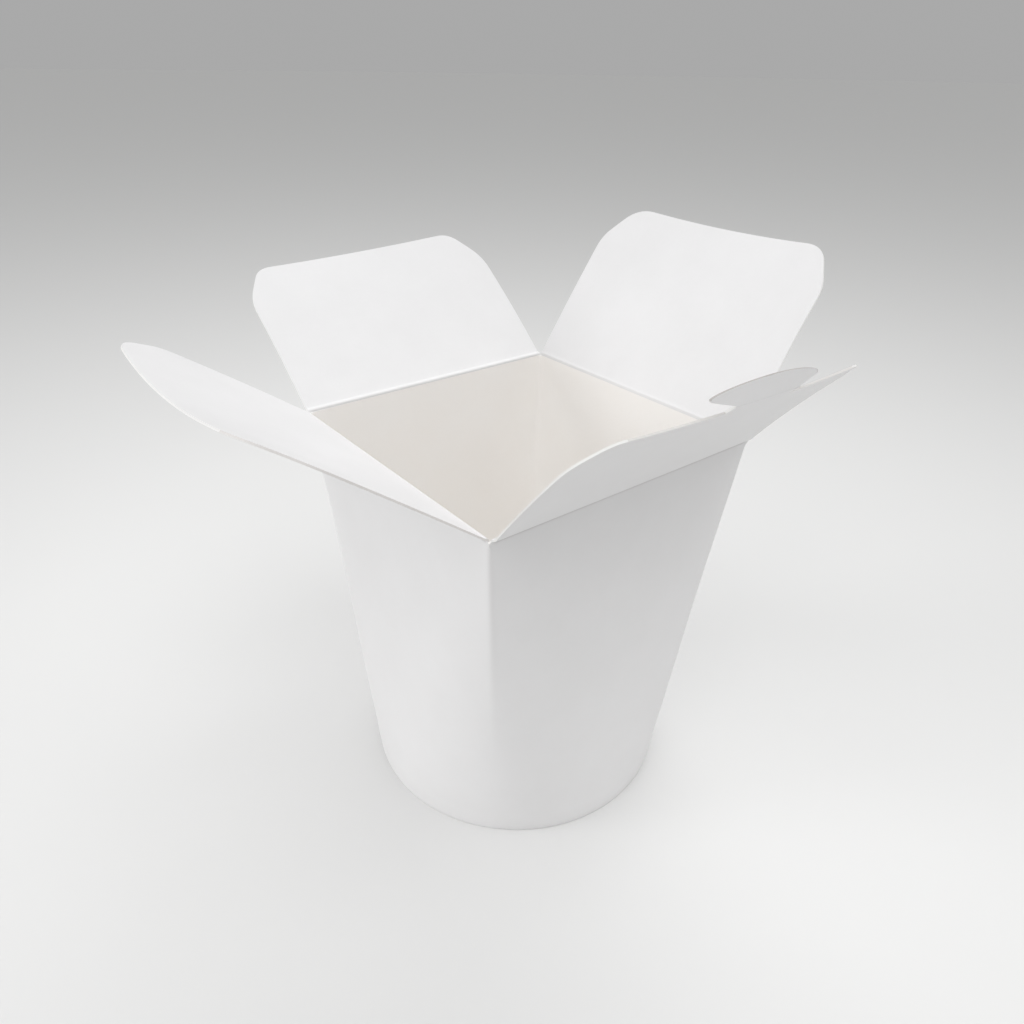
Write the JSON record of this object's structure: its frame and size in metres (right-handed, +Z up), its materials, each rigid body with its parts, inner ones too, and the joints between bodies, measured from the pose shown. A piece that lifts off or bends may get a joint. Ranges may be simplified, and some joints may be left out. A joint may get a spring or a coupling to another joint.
{
  "type": "noodle takeaway box",
  "caption": "Open paperboard noodle takeaway box: a cup with a round base and a square mouth, hinged top flaps and a locking tongue on the front right flap.",
  "frame": {"origin": "Middle of the opened box's outer reach, flaps at rest, on the surface that the base hem stands on.", "axes": "+Z is up. -Y is out of the side with the lock flap, +X out of the rear right side. The cup's own axis stands at x = 5.65 mm, y = -7.0 mm, because the flaps don't lean out equally."},
  "size_m": [0.1664, 0.16, 0.1516],
  "materials": {
    "coated_board": "white clay-coated paperboard, smooth and near matt with a faint sheen",
    "inner_board": "the board's warm white inner face under a thin grease-proof coating"
  },
  "bodies": {
    "cup": {"wall": "coated_board", "base_disc": "inner_board"},
    "front_right_lock_flap": {"flap_front_right_lock": "coated_board"},
    "rear_right_dust_flap": {"flap_rear_right_dust": "coated_board"},
    "rear_left_flap": {"flap_rear_left": "coated_board"},
    "front_left_dust_flap": {"flap_front_left_dust": "coated_board"}
  },
  "joints": [
    {"name": "front_right_flap_crease", "type": "hinge", "parent": "cup", "child": "front_right_lock_flap", "pos_m": [0.00565, -0.0495, 0.1074], "axis": [1, 0, 0], "range_deg": [-112.5, 105]},
    {"name": "rear_right_flap_crease", "type": "hinge", "parent": "cup", "child": "rear_right_dust_flap", "pos_m": [0.04815, -0.007, 0.1074], "axis": [0, 1, 0], "range_deg": [-127, 135]},
    {"name": "rear_left_flap_crease", "type": "hinge", "parent": "cup", "child": "rear_left_flap", "pos_m": [0.00565, 0.0355, 0.1074], "axis": [-1, 0, 0], "range_deg": [-136.5, 94]},
    {"name": "front_left_flap_crease", "type": "hinge", "parent": "cup", "child": "front_left_dust_flap", "pos_m": [-0.03685, -0.007, 0.1074], "axis": [0, -1, 0], "range_deg": [-149, 115]}
  ]
}
